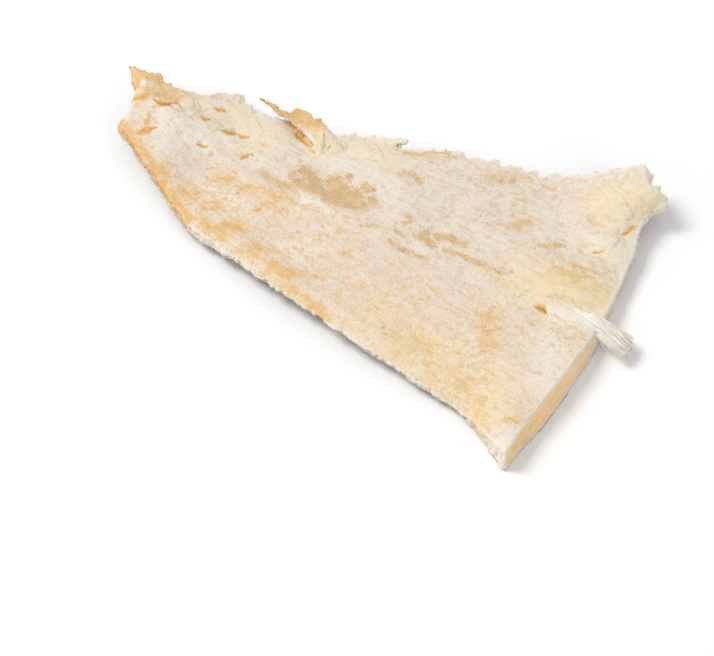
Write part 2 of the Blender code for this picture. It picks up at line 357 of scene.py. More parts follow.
# Start, end, half the width at each, height at the end.
FLAKES = (
    ((-38, 25.5), (-29, 16), 5.0, 1.0, 0.7),
    ((-22, 31), (-11, 25), 4.0, 2.5, 0.3),
    ((-65, 18), (-54, 12.5), 4.0, 2.5, 0.35),
    ((64, 32), (77, 33), 5.0, 4.0, 0.35),
    ((60, 50), (76, 45), 5.0, 3.5, 0.35),
    ((-92, 9), (-80, 8), 4.0, 2.0, 0.3),
    ((30, 47), (44, 44), 4.0, 2.0, 0.3),
)


# %% Each list as one value for each corner of the mesh
def to_stroke(points, stroke):
    """Each point's distance from a line through several places, seen from above, and how far along it is."""
    away, share = np.full(len(points), np.inf), np.zeros(len(points))
    for i, (start, end) in enumerate(itertools.pairwise(stroke)):
        distance, part = to_line(points, start, end)
        nearer = distance < away
        away[nearer] = distance[nearer]
        share[nearer] = (i + part[nearer]) / (len(stroke) - 1)
    return away, share


def strongest(points, places, sharpness=2):
    """How strongly each point lies in the listed strokes: all of it inside, fading outside."""
    found = np.zeros(len(points))
    for stroke, half, strength in places:
        away = to_stroke(points, stroke)[0] / half
        found = np.maximum(found, strength * np.exp(-np.log(2) * away**sharpness))
    return found


def wandering(points, reach):
    """The points shaken sideways by noise, so that what is drawn on them has ragged edges."""
    shake = [noise(points, 3.2, start) + 0.5 * noise(points, 1.1, start + 3) for start in (1.3, 4.4)]
    return points + reach * np.column_stack(shake + [np.zeros(len(points))])


def gaps(points, base, by_depth):
    """The gaps, widest in the middle of each: base, and by_depth for each millimetre that it is deep."""
    shaken = wandering(points, 0.9)
    ragged = 1.3 + 0.45 * noise(points, 1.3, 7.7)
    found = np.zeros(len(points))
    for stroke, half, depth in GAPS:
        away, share = to_stroke(shaken, stroke)
        wide = half * ragged * np.sqrt(np.maximum(1 - (2 * share - 1) ** 2, 0.15))
        found = np.maximum(found, (base + by_depth * depth) * np.exp(-np.log(2) * (away / wide) ** 2))
    return found


# %% [markdown]
# The relief of the flesh side is a sum of simple parts, from large to small: the lobes, swells along
# the fibres, low steps where one flake of muscle overlaps the next, fine fibre ridges, crumbs of flesh
# near the torn back edge, small pits where salt crystals lay, and the creases.
# %% The relief of the flesh side
PITS = 300
STEP_LENGTH = 11.0
CUT_LINE = ((94, -63), (93.4, -6), (87.4, 32), (83.4, 47))
CUT_FILL = 1.7
CUT_REACH = 5.5


def pits(points):
    """Small round hollows left by salt crystals, at random places."""
    middles = np.column_stack([DICE.uniform(low[i], high[i], PITS) for i in (0, 1)])
    sizes = DICE.uniform(0.4, 1.0, PITS)
    found = np.zeros(len(points))
    for middle, size in zip(middles, sizes):
        near = np.abs(points[:, :2] - middle).max(axis=1) < 3 * size
        away = np.linalg.norm(points[near, :2] - middle, axis=1) / size
        found[near] = np.maximum(found[near], 0.4 * size * np.exp(-(away**2)))
    return found


def flake_steps(points, fibres):
    """Low steps across the fibres, each a slow climb and a sudden drop, fading in and out."""
    bow = 9.0 * (2 * fibres[:, 1] / MEAN_WIDTH - 1) ** 2
    phase = (fibres[:, 0] + bow + 3.0 * noise(points, 13.0, 6.1)) / STEP_LENGTH
    tooth = phase - np.floor(phase)
    climb = np.where(tooth < 0.88, tooth / 0.88, (1 - tooth) / 0.12)
    return climb * rise(0.0, 0.6, noise(points, 16.0, 8.8))


def level_end(points):
    """What the back half of the cut end needs to stay level right up to the knife's edge."""
    near_cut = np.exp(-to_stroke(points, CUT_LINE)[0] / CUT_REACH)
    return CUT_FILL * near_cut * rise(-6, 6, points[:, 1]) * rise(54, 44, points[:, 1])


def flakes(points):
    """Thin leaves that rise towards their free end and stop there with a small step."""
    shaken = wandering(points, 0.8)
    found = np.zeros(len(points))
    for start, end, half, end_half, height in FLAKES:
        away, share = to_line(shaken, start, end)
        inside = rise(0.35, -0.35, away - half - (end_half - half) * share)
        found = np.maximum(found, inside * height * rise(0.0, 0.8, share))
    return found


def relief(points, fibres):
    """The height added to the flesh side, in millimetres."""
    torn = rise(0.84, 0.96, across(points))
    height = 0.24 * noise(fibres, (14.0, 5.0, 4.0), 1.7)
    height += 0.09 * noise(fibres, (7.0, 2.0, 2.0), 5.3)
    height += 0.07 * noise(points, 1.7, 9.1)
    height += 0.15 * flake_steps(points, fibres)
    height += torn * (0.2 * noise(points, 2.6, 4.2) + 0.16 * noise(fibres, (4.0, 0.9, 1.2), 0.7))
    height += strongest(wandering(points, 0.8), LOBES) + flakes(points) + level_end(points)
    return height - pits(points) - gaps(points, 0.0, 0.7)


# %% [markdown]
# The walls need different treatment. The cut end was sliced with a knife and stays smooth. The long
# edges were torn, so noise nibbles at them, and the back edge has teeth: there the whole thickness is
# pushed in and out. The underside hardly shows: it is lifted a little, to make room for the skin. The
# splinter gets stouter, and the tuft becomes a slim core, to be wrapped in fibres.
# %% Move the corners of the mesh
UNDERSIDE_LIFT = 0.6
INNER_LIFT = 0.5
TEETH = 1.1
TEETH_REACH = 2.5
NIBBLES = 0.32
NIBBLES_REACH = 1.6
# Bites and knobs of the edge: where, how far they reach, and how far they push it along X and Y.
BITES = (
    ((81, 62), 2.0, (-1.4, -3.0)),
    ((84.5, 60.5), 1.2, (-1.4, -1.2)),
    ((87.5, 58.5), 2.0, (1.0, 0.6)),
    ((85.5, 52), 2.0, (-1.0, 0.2)),
    ((-70, 20.5), 1.6, (0.2, -1.6)),
    ((-50, 23), 1.5, (0, -1.0)),
    ((-90, -5), 2.0, (1.0, 0)),
    ((-97, 12), 1.6, (0, -1.2)),
    ((-90, 12), 3.0, (0.2, -2.4)),
    ((-83.5, 14), 3.0, (0, -2.0)),
    ((-36, 27.3), 3.0, (0, 2.0)),
    ((12, 44.5), 1.6, (0, -1.8)),
    ((-5, 33.2), 1.8, (0, 1.5)),
    ((-3.6, 37.5), 1.5, (-1.2, -0.2)),
)
# Strips of the solid: start, end, share of the length where the change starts, half the width, how each
# is scaled, and how far its start is lifted.
TUFT = ((93, -1.0, 5.2), (103, -2.6, 4.5), 0.05, 6.2, (0.5, 0.8, 0.6), 1.1)
SPLINTER = ((-34.6, 23.5, 4.6), (-58.6, 22, 12.6), 0.45, 6.2, (1.0, 1.5, 1.3), 0.0)
SLIVER = ((-20.6, 31, 4.2), (-3.6, 37.5, 6.4), 0.55, 2.4, (1.0, 1.3, 1.7), 0.0)
STRIPS = (TUFT, SPLINTER, SLIVER)


def on_strip(points, strip):
    """How surely each point belongs to a strip, its offset from the middle line, and how far along it is."""
    start, end, begin, half = np.array(strip[0], float), np.array(strip[1], float), *strip[2:4]
    share = (points[:, 0] - start[0]) / (end[0] - start[0])
    offset = points - start - np.clip(share, 0, 1)[:, None] * (end - start)
    inside = rise(begin, begin + 0.15, share) * rise(1.4, 1.2, share)
    inside *= rise(half + 0.8, half - 0.8, np.abs(offset[:, 1])) * rise(2.6, 2.2, np.abs(offset[:, 2]))
    return inside, offset, share


def toothed(points):
    """The points near both long edges, pushed in and out in steps."""
    along = points * [1, 0, 0]
    push = np.tanh(4 * noise(along, 3.4, 2.9)) + 0.7 * noise(along, 7.0, 6.2) + 0.7 * noise(along, 1.3, 0.4)
    near = np.exp(-(((edges_at(points)[1] - points[:, 1]) / TEETH_REACH) ** 2)) * rise(80, 70, points[:, 0])
    near *= 1 - np.maximum(on_strip(points, SPLINTER)[0], on_strip(points, SLIVER)[0])
    nibble = np.tanh(5 * noise(along, 2.4, 7.7)) + 0.6 * noise(along, 1.1, 3.1)
    front = np.exp(-(((points[:, 1] - edges_at(points)[0]) / NIBBLES_REACH) ** 2))
    front *= rise(-70, -58, points[:, 0]) * rise(84, 78, points[:, 0])
    pushed = points + (TEETH * near * push + NIBBLES * front * nibble)[:, None] * [0, 1, 0]
    for place, reach, step in BITES:
        close = np.exp(-(((points[:, :2] - place) ** 2).sum(axis=1)) / reach**2)
        pushed[:, :2] += close[:, None] * step
    return pushed


def rescaled_strips(points):
    """The points, with those of each strip moved from its middle line or towards it."""
    for strip in STRIPS:
        inside, offset, share = on_strip(points, strip)
        lift = strip[5] * rise(1, 0, share)[:, None] * [0, 0, 1]
        points = points + inside[:, None] * (offset * (np.array(strip[4]) - 1) + lift)
    return points


fibres = along_fibres(shape)
upward = rise(0.25, 0.75, facing[:, 2])
downward = rise(-0.15, -0.45, facing[:, 2])
sideways = 1 - np.maximum(upward, downward)
knifed = rise(0.5, 0.8, facing[:, 0]) * rise(60, 70, shape[:, 0]) * rise(50, 40, shape[:, 1])
torn_rim = 0.42 * noise(shape, 1.4, 2.2) + 0.5 * noise(shape, 3.2, 6.6) + 0.5 * noise(shape, 7.0, 4.4)
torn_rim *= 1 + 1.2 * rise(70, 78, shape[:, 0]) * rise(44, 50, shape[:, 1])
smooth = 1 - 0.8 * np.max([on_strip(shape, strip)[0] for strip in STRIPS], axis=0)
height = relief(shape, fibres) * smooth
torn_rim *= smooth
front_side, back_side = edges_at(shape)
inner = rise(2, 6, np.minimum(shape[:, 1] - front_side, back_side - shape[:, 1]))
inner *= rise(low[0] + 2, low[0] + 6, shape[:, 0]) * rise(88, 84, shape[:, 0])
outward = upward * height + sideways * (1 - 0.9 * knifed) * torn_rim - downward * (UNDERSIDE_LIFT + INNER_LIFT * inner)
moved = shape + facing * outward[:, None]
moved = rescaled_strips(toothed(moved))
moved[:, 2] = np.clip(moved[:, 2], UNDERSIDE_LIFT, high[2] + 0.2)
set_points(flesh.data, moved)
print("relief from", height[upward > 0.5].min().round(2), "to", height[upward > 0.5].max().round(2), "mm")

# %% [markdown]
# The underside has as many small faces as the top, and the skin hides them all. Decimate takes most of
# them away: a vertex group tells it to leave the rest of the mesh alone.
# %% Thin out the hidden underside
HIDDEN_SHARE = 0.5


def applied(made, name, kind, **settings):
    """Adds a modifier, keeps its result as the object's mesh, and takes it off again."""
    modifier = made.modifiers.new(name, kind)
    for key, value in settings.items():
        setattr(modifier, key, value)
    bpy.context.view_layer.update()
    result = bpy.data.meshes.new_from_object(made.evaluated_get(bpy.context.evaluated_depsgraph_get()))
    made.modifiers.clear()
    made.data = result
    return made


hidden = flesh.vertex_groups.new(name="hidden")
hidden.add(np.flatnonzero(facing[:, 2] < -0.9).tolist(), 1.0, "REPLACE")
applied(flesh, "thin_out", "DECIMATE", ratio=HIDDEN_SHARE, vertex_group="hidden", use_collapse_triangulate=True)
flesh.vertex_groups.clear()
moved = points_of(flesh.data)
facing = normals_of(flesh.data)
print("the flesh now has", len(flesh.data.polygons), "triangles")


# %% [markdown]
# Masks that the shader needs, such as how bare a place is, are stored on the mesh as attributes. An
# attribute sticks to the surface, costs nothing to render, and comes along when the piece is baked.
# The mask of hollows compares each corner with a calmed copy of the surface: salt frosts the peaks and
# the edges white, and the nooks get a darker amber that is painted shade.
# %% Store the masks on the mesh
HOLLOW_ROUNDS = 14
HOLLOW_DEPTH = 0.15


def store(mesh, name, values):
    """One value per corner, or one vector, under that name."""
    kind = "FLOAT_VECTOR" if values.ndim == 2 else "FLOAT"
    field = mesh.attributes.new(name, kind, "POINT")
    field.data.foreach_set("vector" if values.ndim == 2 else "value", values.astype(np.float32).ravel())


def store_tints(mesh, points):
    """The masks that depend only on where a point is, seen from above."""
    shaken = wandering(points, 0.7)
    store(mesh, "bare", strongest(shaken, BARE, 2))
    store(mesh, "amber", np.maximum(strongest(shaken, AMBER), 1.1 * on_strip(points, SPLINTER)[0]))
    store(mesh, "cream", strongest(shaken, CREAM))
    store(mesh, "white", strongest(shaken, WHITE))
    store(mesh, "streaky", strongest(shaken, STREAKY))
    store(mesh, "fibres", along_fibres(points))


def above_skin(points, normals):
    """How far each point is above the nearest corner of the underside, in millimetres."""
    under = np.flatnonzero(normals[:, 2] < -0.8)
    tree = KDTree(len(under))
    for place, i in enumerate(under):
        tree.insert((points[i, 0], points[i, 1], 0), place)
    tree.balance()
    nearest = [tree.find((x, y, 0))[1] for x, y in points[:, :2]]
    return points[:, 2] - points[under[nearest], 2]


edges = edges_of(flesh.data)
calm = moved
for _ in range(HOLLOW_ROUNDS):
    calm = evened(calm, edges, 0.5)
hollow = ((calm - moved) * facing).sum(axis=1) / HOLLOW_DEPTH
upward = rise(0.25, 0.75, facing[:, 2])
foot = above_skin(moved, facing)
knifed = rise(0.25, 0.6, facing[:, 0]) * rise(60, 70, moved[:, 0])
front = rise(0.4, 0.7, -facing[:, :2].min(axis=1)) * rise(-40, -52, moved[:, 0])
wall = np.maximum(rise(0.95, 0.6, facing[:, 2]) * knifed * rise(52, 44, moved[:, 1]), (1 - upward) * front)
wall *= 1 - strongest(moved, WHITE[3:4])
store_tints(flesh.data, moved)
store(flesh.data, "hollow", np.clip(hollow, -2, 2))
# The gaps' mask grows with their depth. The shader uses it for the bare flesh in the slits and for painted shade in
# them.
store(flesh.data, "gap_flesh_and_shade", gaps(moved, 1.0, 0.55) * upward)
store(flesh.data, "wall", wall * rise(0.3, 0.9, foot) * (1 - 0.55 * knifed * rise(-34, -8, moved[:, 1])))
store(flesh.data, "knifed", knifed * rise(0.95, 0.6, facing[:, 2]))
print("walls reach", foot[wall > 0.5].max().round(1), "mm above the skin")
print("hollows", np.percentile(hollow[upward > 0.5], (1, 10, 50, 90, 99)).round(2))

# %% [markdown]
# The skin is a thin tough sheet under the flesh. It is made from a second, coarser remesh of the same
# solid: only the faces that look down are kept, Solidify gives them a thickness, and noise wrinkles
# them. At the foot of the walls its salty edge shows as a thin pale line.
# %% The skin
SKIN_VOXEL = 1.0
SKIN_THICK = 0.7
SKIN_OUT = 0.3

def largest_sheet(faces):
    """The most faces that hang together by their edges."""
    left, largest = set(faces), set()
    while left:
        start = left.pop()
        sheet, edge_of_sheet = {start}, [start]
        while edge_of_sheet:
            beside = {f for e in edge_of_sheet.pop().edges for f in e.link_faces} & left
            left -= beside
            sheet |= beside
            edge_of_sheet += beside
        largest = max(largest, sheet, key=len)
    return largest


skin = remeshed("fish_skin", SKIN_VOXEL, 2)
bm = bmesh.new()
bm.from_mesh(skin.data)
bm.normal_update()
keep = largest_sheet(f for f in bm.faces if f.normal.z < -0.35)
bmesh.ops.delete(bm, geom=[f for f in bm.faces if f not in keep], context="FACES")
bmesh.ops.delete(bm, geom=[v for v in bm.verts if not v.link_faces], context="VERTS")
bmesh.ops.recalc_face_normals(bm, faces=bm.faces[:])
if sum(f.normal.z for f in bm.faces) > 0:
    bmesh.ops.reverse_faces(bm, faces=bm.faces[:])
bm.to_mesh(skin.data)
bm.free()
print("the skin has", len(skin.data.polygons), "faces before it is thickened")

# %% Wrinkle and thicken the skin
applied(skin, "thick", "SOLIDIFY", thickness=SKIN_THICK * MM, offset=-1.0, use_even_offset=False)
under = toothed(points_of(skin.data))
turned = normals_of(skin.data)
wrinkles = 0.2 * np.abs(noise(under, (5.0, 2.2, 4.0), 3.3)) + 0.1 * noise(under, 1.8, 1.1)
edge = 1 - np.abs(turned[:, 2])
frill = SKIN_OUT * (1 + 0.9 * noise(under, 1.8, 5.5)) + 0.3 * noise(under, 4.0, 2.5)
cut_side = rise(0.3, 0.7, turned[:, 0]) * rise(70, 80, under[:, 0])
under[:, :2] += turned[:, :2] * (rise(0.2, 0.8, edge) * frill * (1 - 0.8 * cut_side))[:, None]
under[:, 2] = np.maximum(under[:, 2] + rise(0.3, 0.8, -turned[:, 2]) * wrinkles, 0.0)
set_points(skin.data, under)
store(skin.data, "rim", np.maximum(rise(0.15, 0.6, edge) * (1 - 0.6 * cut_side), rise(0.2, 0.6, turned[:, 2])))
print("the skin's lowest point is at", under[:, 2].min().round(3), "mm")


# %% [markdown]
# Small things that come by the hundred, such as fibres, flakes and salt, are each modelled once with
# a few faces. Arrays then place every copy: a copy is the model's corners times three axes, plus a
# place. One joined mesh of a thousand copies is quick to build and to render.
# %% Copies of one small model as a single mesh
def model_arrays(bm):
    """A small model's corners and faces."""
    bm.verts.ensure_lookup_table()
    corners = np.array([v.co[:] for v in bm.verts])
    faces = [[v.index for v in f.verts] for f in bm.faces]
    bm.free()
    return corners, faces


def joined(name, copies, faces):
    """One object from many copies' corners, in millimetres, which all share the faces."""
    count, each = copies.shape[:2]
    mesh = bpy.data.meshes.new(name)
    lists = [[i * each + v for v in face] for i in range(count) for face in faces]
    mesh.from_pydata((copies.reshape(-1, 3) * MM).tolist(), [], lists)
    mesh.polygons.foreach_set("use_smooth", [True] * len(lists))
    made = bpy.data.objects.new(name, mesh)
    bpy.context.scene.collection.objects.link(made)
    print(name, "has", count, "copies and", sum(len(f) - 2 for f in lists), "triangles")
    return made


# %% [markdown]
# A fibre is a thin tapering strand. It starts inside the flesh, leaves it in one direction and bends
# towards another. Torn edges bristle with short ones, and the tuft at the cut end is a sheaf of long
# ones.
# %% Model one strand
STRAND_STEPS = 5
LOWEST = 0.1


def strand_model():
    bm = bmesh.new()
    bmesh.ops.create_cone(bm, cap_ends=True, segments=5, radius1=0.5, radius2=0.15, depth=1.0)
    long_edges = [e for e in bm.edges if abs(e.verts[0].co.z - e.verts[1].co.z) > 0.5]
    bmesh.ops.subdivide_edges(bm, edges=long_edges, cuts=STRAND_STEPS - 1)
    bmesh.ops.recalc_face_normals(bm, faces=bm.faces[:])
    return model_arrays(bm)


def strands(roots, heads, bends, thick):
    """Corners of strands that start at roots, run along heads and bend by bends, in millimetres."""
    corners, _ = STRAND
    t = (corners[:, 2] + 0.5)[None, :, None]
    straight = heads / np.linalg.norm(heads, axis=1, keepdims=True)
    side = np.cross([0.13, 0.09, 1.0], straight)
    side /= np.linalg.norm(side, axis=1, keepdims=True)
    other = np.cross(straight, side)
    spine = roots[:, None] + heads[:, None] * t + bends[:, None] * t**2
    spine[:, :, 2] = np.maximum(spine[:, :, 2], LOWEST + thick[:, None] / 2)
    width = corners[None, :, 0, None] * side[:, None] + corners[None, :, 1, None] * other[:, None]
    return spine + width * thick[:, None, None]


STRAND = strand_model()
print("a strand has", len(STRAND[1]), "faces")

# %% Where the edges are
level = np.hypot(facing[:, 0], facing[:, 1])
on_edge = (level > 0.7) & (moved[:, 2] > 1.0)
front_rim = np.flatnonzero(on_edge & (facing[:, 1] < -0.5) & (moved[:, 0] < 85))
back_rim = np.flatnonzero(on_edge & (facing[:, 1] > 0.4) & (moved[:, 0] < 88))
cut_rim = np.flatnonzero(on_edge & (facing[:, 0] > 0.6) & (moved[:, 0] > 70) & (foot < 2))
tip_rim = np.flatnonzero(on_edge & (facing[:, 0] < -0.4) & (moved[:, 0] < -70))
on_top = facing[:, 2] > 0.6
print("rim corners:", len(front_rim), len(back_rim), len(cut_rim), len(tip_rim))


# %% Short fibres along the torn edges
def fringe(places, count, longest, thick, lift):
    """Short strands that leave the edge at a slant, as a torn weave does."""
    chosen = DICE.choice(places, count)
    away = facing[chosen] * [1, 1, 0]
    away /= np.linalg.norm(away, axis=1, keepdims=True)
    tangent = np.column_stack([-away[:, 1], away[:, 0], np.zeros(count)])
    length = longest * DICE.beta(1.2, 4.0, count)[:, None] + 0.4
    heading = away + tangent * DICE.normal(0, 1.2, (count, 1))
    heading /= np.linalg.norm(heading, axis=1, keepdims=True)
    up = DICE.normal(lift, 0.3, (count, 1)) * np.array([0, 0, 1])
    bends = (DICE.normal(0, 0.35, (count, 3)) + [0, 0, -0.1]) * length
    roots = moved[chosen] - away * 0.4
    return roots, (heading + up) * length, bends, DICE.uniform(0.6, 1.0, count) * thick


SETS = [
    fringe(front_rim, 900, 2.2, 0.24, -0.1),
    fringe(back_rim, 620, 2.6, 0.28, 0.1),
    fringe(cut_rim, 60, 1.6, 0.24, 0.0),
    fringe(tip_rim, 110, 1.8, 0.26, 0.1),
]
print(sum(len(each[0]) for each in SETS), "short fibres")

# %% [markdown]
# Longer fibres come in sheaves: two for the tuft at the cut end and one on the flesh behind it, one for
# the splinter, and one for each of two slivers of the back edge.
# %% Sheaves of fibres
def sheaf(root, tip, count, root_spread, tip_spread, thick, sag, reach=(0.6, 1.06)):
    """Strands that run together from a root to a tip and fray there."""
    root, tip = np.array(root, float), np.array(tip, float)
    place = DICE.uniform(-1.6, 1.6, (count, 3))
    starts = root + place * root_spread
    share = DICE.uniform(*reach, (count, 1))
    place = place + DICE.normal(0, 0.45, (count, 3))
    ends = root + (tip - root) * share + place * tip_spread * share
    bends = DICE.normal(0, 0.25, (count, 3)) + [0, 0, sag]
    return starts, ends - starts - bends, bends, DICE.uniform(0.6, 1.1, count) * thick


SETS += [
    sheaf((76, 1.4, 7.7), (92, 0.2, 5.8), 70, (2.0, 1.7, 0.2), (1.5, 1.2, 0.2), 0.26, 0.2),
    sheaf((83, 0.4, 7.75), (104, -3.2, 4.9), 90, (3.6, 1.3, 0.15), (0.5, 1.9, 0.3), 0.32, -3.2, (0.84, 1.03)),
    sheaf((89.5, -0.3, 6.5), (104.6, -3.3, 4.6), 420, (2.0, 1.5, 0.3), (0.5, 2.2, 0.4), 0.45, -0.9, (0.84, 1.04)),
    sheaf((93, -0.8, 5.8), (103.5, -3.3, 4.4), 110, (1.2, 1.6, 0.4), (1.4, 2.5, 0.7), 0.24, -0.3, (0.8, 1.1)),
    sheaf((-34, 24, 5.2), (-58, 22, 12.4), 14, (1.2, 1.1, 0.3), (0.4, 0.2, 0.15), 0.5, 0.3),
    sheaf((-18, 31, 4.6), (-4, 37.3, 6.2), 12, (1.2, 0.8, 0.2), (1.0, 0.5, 0.2), 0.35, 0.2, (0.5, 1.0)),
    sheaf((0, 35, 4.6), (16, 43.5, 5.8), 14, (1.2, 0.8, 0.2), (1.0, 0.5, 0.2), 0.35, 0.2, (0.5, 0.95)),
]
stacks = [np.concatenate(column) for column in zip(*SETS)]
fibre_piece = joined("loose_fibres", strands(*stacks), STRAND[1])

# %% [markdown]
# Salt lies on everything as a fine frost, which the material gives. Here and there a grain is large
# enough to see, so a few thousand are real: small rounded lumps, each squashed and turned its own way.
# %% Salt grains
GRAINS = 2200


def grain_model():
    bm = bmesh.new()
    bmesh.ops.create_icosphere(bm, subdivisions=1, radius=0.5)
    for vert in bm.verts:
        vert.co *= 1 + 0.25 * math.sin(9 * vert.co.x + 5 * vert.co.y + 7 * vert.co.z)
    return model_arrays(bm)


def scattered(places, count, smallest, largest):
    """Corners of grains on the surface, half sunk."""
    chosen = DICE.choice(places, count)
    size = smallest + (largest - smallest) * DICE.beta(1.2, 4.0, count)
    axes = np.linalg.qr(DICE.normal(size=(count, 3, 3)))[0]
    axes[:, 2] *= np.linalg.det(axes)[:, None]
    axes *= size[:, None, None] * DICE.uniform(0.7, 1.2, (count, 3, 1))
    middles = moved[chosen] + DICE.normal(0, 0.2, (count, 3)) * [1, 1, 0.1]
    corners = middles[:, None] + GRAIN[0] @ axes
    corners[:, :, 2] = np.maximum(corners[:, :, 2], LOWEST)
    return corners


GRAIN = grain_model()
grains = [
    scattered(np.flatnonzero(on_top), GRAINS, 0.15, 0.5),
    scattered(cut_rim, 90, 0.2, 0.6),
    scattered(front_rim, 200, 0.2, 0.5),
]
grain_piece = joined("salt_grains", np.concatenate(grains), GRAIN[1])


# %% [markdown]
# Shader nodes can be wired by hand in the editor. In a script, sums of nodes read better as plain
# arithmetic. `Wire` wraps one output socket, so that `2 * a + b` adds the Math nodes for it, and
# `Paint` makes a material and adds any other node in one call.
# %% Shader arithmetic
class Wire:
    """An output socket that can be used in sums."""

    def __init__(self, paint, socket):
        self.paint = paint
        self.socket = socket

    def __add__(self, other):
        return self.paint.math("ADD", self, other)

    def __sub__(self, other):
        return self.paint.math("SUBTRACT", self, other)

    def __rsub__(self, other):
        return self.paint.math("SUBTRACT", other, self)

    def __mul__(self, other):
        return self.paint.math("MULTIPLY", self, other)

    __radd__ = __add__
    __rmul__ = __mul__


class Paint:
    """A material in the making."""

    def __init__(self, name):
        self.material = bpy.data.materials.new(name)
        self.material.use_nodes = True
        self.tree = self.material.node_tree
        self.shader = self.tree.nodes["Principled BSDF"]

    def feed(self, socket, value):
        if isinstance(value, Wire):
            self.tree.links.new(value.socket, socket)
        else:
            socket.default_value = value

    def node(self, kind, settings=(), inputs=(), output=0):
        """Adds a node: its settings come first, then the values or wires of its sockets."""
        made = self.tree.nodes.new(kind)
        for name, value in dict(settings).items():
            setattr(made, name, value)
        for name, value in dict(inputs).items():
            self.feed(made.inputs[name], value)
        return Wire(self, made.outputs[output])

    def math(self, operation, *values):
        return self.node("ShaderNodeMath", {"operation": operation}, enumerate(values))

    def blend(self, share, first, second):
        """The first colour where share is 0, the second where it is 1."""
        inputs = {0: share, 6: first, 7: second}
        return self.node("ShaderNodeMix", {"data_type": "RGBA", "clamp_factor": True}, inputs, 2)

    def ease(self, value, start, end):
        """0 below start, 1 above end."""
        settings = {"interpolation_type": "SMOOTHSTEP"}
        return self.node("ShaderNodeMapRange", settings, {"Value": value, "From Min": start, "From Max": end})

    def place(self):
        """Where a point is, in millimetres."""
        raw = self.node("ShaderNodeTexCoord", output="Object")
        return self.scaled(raw, 1 / MM)

    def scaled(self, vector, by):
        if isinstance(by, tuple):
            return self.node("ShaderNodeVectorMath", {"operation": "MULTIPLY"}, {0: vector, 1: by})
        return self.node("ShaderNodeVectorMath", {"operation": "SCALE"}, {0: vector, "Scale": by})

    def split(self, vector):
        """The three parts of a vector."""
        x = self.node("ShaderNodeSeparateXYZ", {}, {0: vector})
        return [Wire(self, x.socket.node.outputs[i]) for i in range(3)]

    def mask(self, name):
        return self.node("ShaderNodeAttribute", {"attribute_name": name}, output="Fac")

    def grain(self, name="fibres"):
        return self.node("ShaderNodeAttribute", {"attribute_name": name}, output="Vector")

    def cloud(self, vector, size, detail=3.0, rough=0.55):
        """Noise from about -0.3 to 0.3, in lumps of that many millimetres."""
        inputs = {"Vector": vector, "Scale": 1 / size, "Detail": detail, "Roughness": rough}
        return self.node("ShaderNodeTexNoise", {}, inputs) - 0.5

    def finish(self, colour, rough, bumps, **constants):
        """Wires the shader; bumps are (height, distance in millimetres, strength)."""
        self.feed(self.shader.inputs["Base Color"], colour)
        self.feed(self.shader.inputs["Roughness"], rough)
        normal = None
        for height, distance, strength in bumps:
            inputs = {"Height": height, "Distance": distance * MM, "Strength": strength}
            if normal:
                inputs["Normal"] = normal
            normal = self.node("ShaderNodeBump", {}, inputs)
        self.feed(self.shader.inputs["Normal"], normal)
        for name, value in constants.items():
            self.shader.inputs[name.replace("_", " ")].default_value = value
        return self.material


def colour(red, green, blue):
    """A colour given in screen values, from 0 to 255, as the linear values that shaders use."""
    parts = [c / 255 for c in (red, green, blue)]
    return tuple(c / 12.92 if c < 0.04 else ((c + 0.055) / 1.055) ** 2.4 for c in parts) + (1.0,)


# %% [markdown]
# The flesh is amber, and the frost on it is nearly white. One value says how
# much frost covers each point: noise at several sizes, more or less of it where a mask asks. The same
# value lifts the surface in the bump, so that the frost has a thickness. Bare strokes show the flesh
# itself, darker and greyer, with only a few white specks left.
# %% The flesh's material
FLESH_TINT = colour(224, 186, 135)
TAN_TINT = colour(208, 177, 136)
FROST_PALE = colour(234, 225, 210)
FROST_PINK = colour(229, 215, 200)
FROST_COOL = colour(231, 221, 208)
PEACH_TINT = colour(239, 212, 170)
CREAM_TINT = colour(236, 219, 183)
WHITE_TINT = colour(241, 233, 222)
BARE_LIGHT = colour(218, 185, 137)
BARE_DARK = colour(198, 159, 106)
WALL_TINT = colour(249, 208, 148)
FRONT_TINT = colour(204, 163, 108)
AMBER_TINT = colour(221, 177, 114)
# Gaps: the orange is partly the bare flesh in the slit and partly painted shade, and the darker colour is painted
# shade in their depths.
GAP_FLESH_AND_SHADE = colour(221, 171, 94)
GAP_PAINTED_SHADE = colour(174, 118, 50)
# Painted shade for the nooks of the relief: a warmer, darker amber.
NOOK_PAINTED_SHADE = colour(212, 174, 125)
DOT_TINT = colour(206, 168, 116)
CRUMB_TINT = colour(186, 158, 124)
STREAK_TINT = colour(234, 203, 142)
TUFT_TINT = colour(253, 247, 237)


